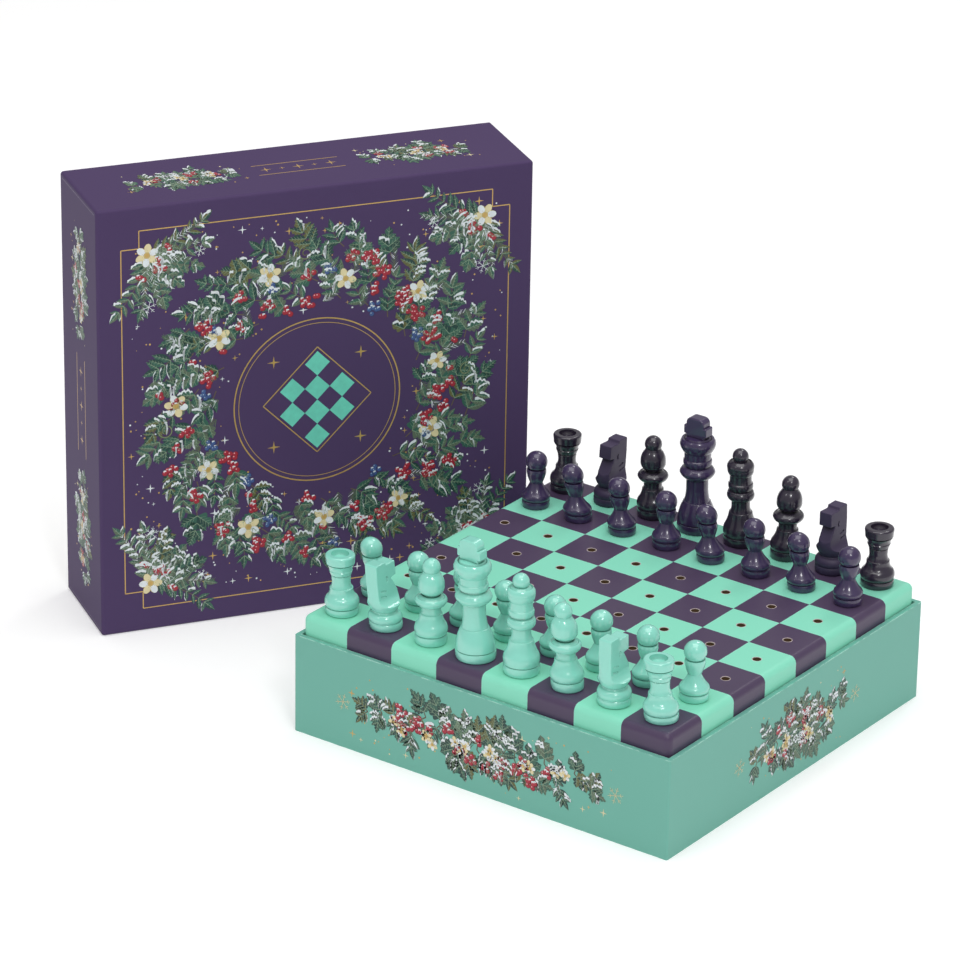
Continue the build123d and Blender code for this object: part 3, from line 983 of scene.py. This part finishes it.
def cornerSprays(sheet, d):
    twigs, spikes, bunch, flower = d["sprig"], d["needles"], d["bunch"], d["blossom"]
    beside, flakes = d["sideBunch"], d["flakes"]
    for sx in (1, -1):
        for sy in (1, -1):
            corner = (sx * d["at"], sy * d["at"])
            inward = math.atan2(-sy, -sx)
            for fan in d["fan"]:
                kind = "laurel" if abs(fan) > d["ivyWithin"] else "ivy"
                length = twigs["long"] + twigs["more"] * abs(fan)
                bend = twigs["bend"] * fan
                sprig(sheet, corner, inward + fan, length, bend, kind, twigs["leaf"], twigs["frost"])
                length = spikes["long"] + spikes["more"] * abs(fan)
                needles(sheet, corner, inward + fan + spikes["turn"], length, "leafGrey")
            berries(sheet, (sx * bunch["at"], sy * bunch["at"]), bunch["count"], bunch["size"])
            blossom(sheet, (sx * flower["at"], sy * flower["at"]), flower["size"])
            berries(sheet, (sx * beside["far"], sy * beside["near"]), beside["count"], beside["size"])
            berries(sheet, (sx * beside["near"], sy * beside["far"]), beside["count"], beside["size"])
            snowflake(sheet, (sx * flakes["at"], sy * flakes["near"]), flakes["sizes"][0])
            snowflake(sheet, (sx * flakes["near"], sy * flakes["at"]), flakes["sizes"][1])


def medallion(sheet, d):
    # a plain chequered diamond inside gold lines
    side, middleCell = d["side"], (d["squares"] - 1) / 2
    for i in range(d["squares"]):
        for j in range(d["squares"]):
            middle = turnPoint((0, 0), math.pi / 4, (i - middleCell) * side, (j - middleCell) * side)
            if (i + j) % 2 == 0:
                square = [turnPoint(middle, math.pi / 4, x * side / 2, y * side / 2)
                          for x, y in squareCorners]
                ink(sheet, "mint", square, layers["square"])
    reach = d["squares"] / 2 * side + d["margin"]
    tips = [turnPoint((0, 0), math.pi / 4, x * reach, y * reach) for x, y in squareCorners]
    for k, tip in enumerate(tips):
        strip(sheet, "gold", [tip, tips[(k + 1) % len(tips)]], ruleWidth, layers["line"])
    for k in range(4):
        at = turnPoint((0, 0), math.pi / 4 + math.pi / 2 * k, d["starAt"], 0)
        star(sheet, "gold", at, d["starSize"], layers["line"])


def lidFront(place, d):
    sheet = newPrint("lid_front_print", "lid", place, d["seed"], d["frame"] + d["pastFrame"])
    far = d["speckReach"]
    goldFrame(sheet, d["frame"], d["frameNotch"])
    ring(sheet, "gold", d["medallion"], d["medallionWidth"], layers["rule"])
    ring(sheet, "gold", d["medallion"] - d["innerRing"], d["innerRingWidth"], layers["rule"])
    scatter(sheet, d["specks"], (far, far),
            lambda p: math.hypot(*p) < d["wreathInner"] or max(map(abs, p)) > far)
    wreath(sheet, d)
    cornerSprays(sheet, cornerDesign)
    medallion(sheet, medallionDesign)
    printed(sheet)


# Garlands on the walls of the lid and the tray

sprayDraw = {
    "clump": 6.5,
    "fullTall": 24,
    "thinning": 0.72,
    "sway": 0.3,
    "kinds": ("oak", "laurel", "ivy"),
    "frost": 0.35,
    "oakLeaf": 6.4,
    "bunches": 6,
    "bunchSize": 1.05,
}


def spray(sheet, wide, tall, blossoms):
    # a flat garland, fullest in the middle and thin at both ends
    chance, s = sheet["chance"], sprayDraw
    count = int(wide / s["clump"])
    size = min(1.0, tall / s["fullTall"])
    for k in range(count):
        t = (k + 0.5) / count * 2 - 1
        full = 1 - s["thinning"] * abs(t)
        at = (t * wide / 2, chance.uniform(-s["sway"], s["sway"]) * tall * full)
        for lift in (1, -1):
            heading = (0 if t > 0 else math.pi) + lift * chance.uniform(0.5, 1.5) * (1 if t > 0 else -1)
            kind = chance.choice(s["kinds"])
            length = tall * 0.3 * full + 1.5
            sprig(sheet, at, heading, length, 0.4, kind, (3.6 + 2.4 * full) * size, s["frost"])
        if k % 2:
            needles(sheet, at, chance.uniform(0, 6.28), (4 + 3 * full) * size, "leafGrey")
    for k in range(5):
        at = ((k - 2) * tall * 0.2, chance.uniform(-0.12, 0.12) * tall)
        for heading in (1.2, -1.2):
            turned = heading + chance.uniform(-0.4, 0.4)
            sprig(sheet, at, turned, tall * 0.3, 0.2, "oak", s["oakLeaf"] * size, s["frost"])
    for k in range(blossoms):
        t = (k + 0.5) / blossoms * 2 - 1
        middle = Vector((t * wide * 0.42, chance.uniform(-0.2, 0.2) * tall * (1 - 0.6 * abs(t))))
        for _ in range(3):
            shift = Vector((chance.uniform(-3, 3), chance.uniform(-2.4, 2.4))) * size
            blossom(sheet, tuple(middle + shift), (2.5 - 0.4 * abs(t)) * size)
    for k in range(int(wide / s["bunches"])):
        t = chance.uniform(-0.7, 0.7)
        at = (t * wide / 2, chance.uniform(-0.36, 0.36) * tall * (1 - 0.6 * abs(t)))
        berries(sheet, at, chance.randrange(4, 9), s["bunchSize"] * size)
    spread = (wide * 0.58, tall * 0.6)
    scatter(sheet, int(wide / 2), spread, lambda p: abs(p[1]) < tall * 0.16, ("gold", "gold", "petal"))


lidPlace = {"corner": (-188.3, -65.2), "turn": 56.95, "side": 171.8, "depth": 45.0}
lidBands = {
    "edge": 1.5,
    "ruleAt": 5,
    "stars": 5,
    "lapAt": 2.0,
    "top": {"apart": 46, "wide": 42, "tall": 17, "rule": 17, "starGap": 6.4, "starSizes": (2.4, 1.3)},
    "wall": {"apart": 50, "wide": 44, "tall": 18, "rule": 20, "starGap": 7.0, "starSizes": (2.2, 1.2)},
    "blossoms": 3,
    "seeds": {"lid_top_print": 21, "lid_left_print": 31, "lid_right_print": 32},
}
trayBands = {
    "below": 1,
    "lapAt": 1.5,
    "tall": 25,
    "flakeGap": 8,
    "flakeSize": 3.4,
    "long": {"wide": 104, "blossoms": 6},
    "short": {"wide": 60, "blossoms": 4},
}
seamWidth = 0.2


def lidBand(name, place, look):
    # two garlands, with gold rules and stars between them
    b = lidBands
    band = newPrint(name, "lid", place, b["seeds"][name], lidPlace["depth"] / 2 - b["edge"])
    for shift in (-look["apart"], look["apart"]):
        band["place"]["origin"] += place["right"] * shift
        spray(band, look["wide"], look["tall"], b["blossoms"])
        band["place"]["origin"] -= place["right"] * shift
    for y in (-b["ruleAt"], b["ruleAt"]):
        goldRule(band, -look["rule"], look["rule"], y)
    for k in range(b["stars"]):
        at = ((k - b["stars"] // 2) * look["starGap"], 0)
        star(band, "gold", at, look["starSizes"][k % 2], layers["rule"])
    return band


def lidPrints(d):
    turn = math.radians(d["turn"])
    along = Vector((math.cos(turn), math.sin(turn), 0))
    back = Vector((-math.sin(turn), math.cos(turn), 0))
    corner = Vector((*d["corner"], 0))
    high = Vector((0, 0, 1))
    side, depth, lap = d["side"], d["depth"], lidBands["lapAt"]
    middle = corner + along * side / 2 + high * side / 2
    lidFront(sidePlace(middle, along, -back), lidDesign)
    topMiddle = corner + along * side / 2 + back * depth / 2 + high * side
    printed(lidBand("lid_top_print", sidePlace(topMiddle, along, high), lidBands["top"]))
    for name, at, out in (
        ("lid_left_print", corner, -along),
        ("lid_right_print", corner + along * side, along),
    ):
        wallMiddle = at + back * depth / 2 + high * side / 2
        wall = lidBand(name, sidePlace(wallMiddle, high, out), lidBands["wall"])
        for x in (lap - side / 2, side / 2 - lap):
            strip(wall, "violetSeam", [(x, lap - depth / 2), (x, depth / 2 - lap)], seamWidth, layers["seam"])
        printed(wall)


def trayPrints(d):
    low, far = (Vector(c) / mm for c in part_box("tray_wrap"))
    height = (low.z + far.z) / 2 - d["below"]
    lap = d["lapAt"]
    for name, at, right, out, size, seed in (
        ("tray_front_print", (0, low.y, height), (1, 0, 0), (0, -1, 0), "long", 41),
        ("tray_back_print", (0, far.y, height), (-1, 0, 0), (0, 1, 0), "long", 42),
        ("tray_right_print", (far.x, 0, height), (0, 1, 0), (1, 0, 0), "short", 43),
        ("tray_left_print", (low.x, 0, height), (0, -1, 0), (-1, 0, 0), "short", 44),
    ):
        wide = d[size]["wide"]
        wall = newPrint(name, "tray", sidePlace(at, right, out), seed, height - lap + seamWidth / 2)
        spray(wall, wide, d["tall"], d[size]["blossoms"])
        for x in (-wide / 2 - d["flakeGap"], wide / 2 + d["flakeGap"]):
            snowflake(wall, (x, 0), d["flakeSize"], "petal")
        for x in (lap - far.x, far.x - lap):
            seam = [(x, lap - height), (x, far.z - height - lap)]
            strip(wall, "mintSeam", seam, seamWidth, layers["seam"])
        printed(wall)


lidPrints(lidPlace)
trayPrints(trayBands)
print("decoration printed")


# Floor and light

room = {
    "halfSide": 6,
    "floorColour": (236, 236, 236),
    "floorRoughness": 0.9,
    "floorGlow": 0.27,
    "skyStrength": 0.42,
    "lights": {
        "topSoft": {"at": (0.1, -0.2, 1.8), "size": 1.5, "power": 17},
        "keyRight": {"at": (1.1, -1.0, 1.5), "size": 0.35, "power": 8},
        "fillLeft": {"at": (-0.6, -1.7, 1.7), "size": 0.25, "power": 2.5},
        "topBack": {"at": (-0.2, 1.3, 1.6), "size": 0.4, "power": 4},
    },
}


def layFloor(r):
    mesh = bpy.data.meshes.new("studioFloor")
    corners = [(x * r["halfSide"], y * r["halfSide"], 0) for x, y in squareCorners]
    mesh.from_pydata(corners, [], [(0, 1, 2, 3)])
    floor = newPiece("studioFloor", mesh)
    material = bpy.data.materials.new("studioFloor")
    material.use_nodes = True
    paperSheet = material.node_tree.nodes["Principled BSDF"]
    paperSheet.inputs["Base Color"].default_value = tone(*r["floorColour"])
    paperSheet.inputs["Roughness"].default_value = r["floorRoughness"]
    paperSheet.inputs["Emission Color"].default_value = (1, 1, 1, 1)
    paperSheet.inputs["Emission Strength"].default_value = r["floorGlow"]
    mesh.materials.append(material)


def lightRoom(r):
    world = bpy.data.worlds.new("studioSky")
    world.use_nodes = True
    sky = world.node_tree.nodes["Background"]
    sky.inputs["Color"].default_value = (1, 1, 1, 1)
    sky.inputs["Strength"].default_value = r["skyStrength"]
    scene.world = world
    for name, light in r["lights"].items():
        data = bpy.data.lights.new(name, "AREA")
        data.shape = "SQUARE"
        data.size = light["size"]
        data.energy = light["power"]
        lamp = newPiece(name, data)
        lamp.location = light["at"]
        lamp.rotation_euler = (-Vector(light["at"])).to_track_quat("-Z", "Y").to_euler()


layFloor(room)
lightRoom(room)
print("room lit")
